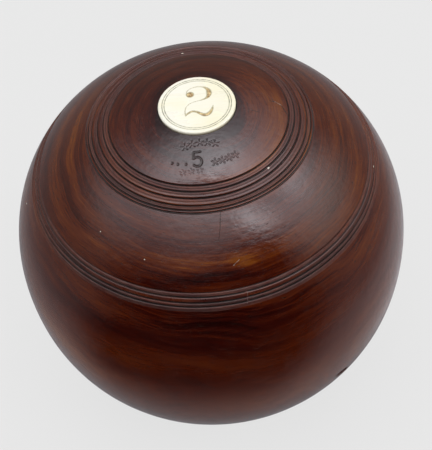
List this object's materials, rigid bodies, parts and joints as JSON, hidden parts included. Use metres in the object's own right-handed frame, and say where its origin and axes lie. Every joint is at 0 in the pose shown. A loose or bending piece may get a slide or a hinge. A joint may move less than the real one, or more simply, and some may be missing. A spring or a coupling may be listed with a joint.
{
  "type": "wooden lawn bowl",
  "caption": "Turned hardwood lawn bowl with bands of grooves on both sides and an engraved pale disc let into the middle of each side.",
  "frame": {"origin": "middle of the flat face of the larger lower disc, on the surface that the bowl stands on", "axes": "+Z is the turning axis, up through the smaller numbered disc; the numerals stand upright along +Y"},
  "size_m": [0.127, 0.127, 0.1199],
  "materials": {
    "wood": "old polished dense hardwood, red-brown with dark streaks, glossy, fine scratches",
    "disc": "polished ivory-coloured disc, slightly yellowed",
    "cement": "dull dark cement",
    "numeral_colour": "worn tan engraving colour",
    "line_colour": "dull grey-green grime in a turned line"
  },
  "bodies": {
    "root": {"bowl_body": "wood", "bias_disc": "disc", "bias_disc_cement": "cement", "bias_numeral_fill": "numeral_colour", "bias_outer_line_fill": "line_colour", "bias_inner_line_fill": "line_colour", "plain_disc": "disc", "plain_disc_cement": "cement", "plain_numeral_fill": "numeral_colour", "plain_outer_line_fill": "line_colour", "plain_inner_line_fill": "line_colour"}
  },
  "joints": []
}
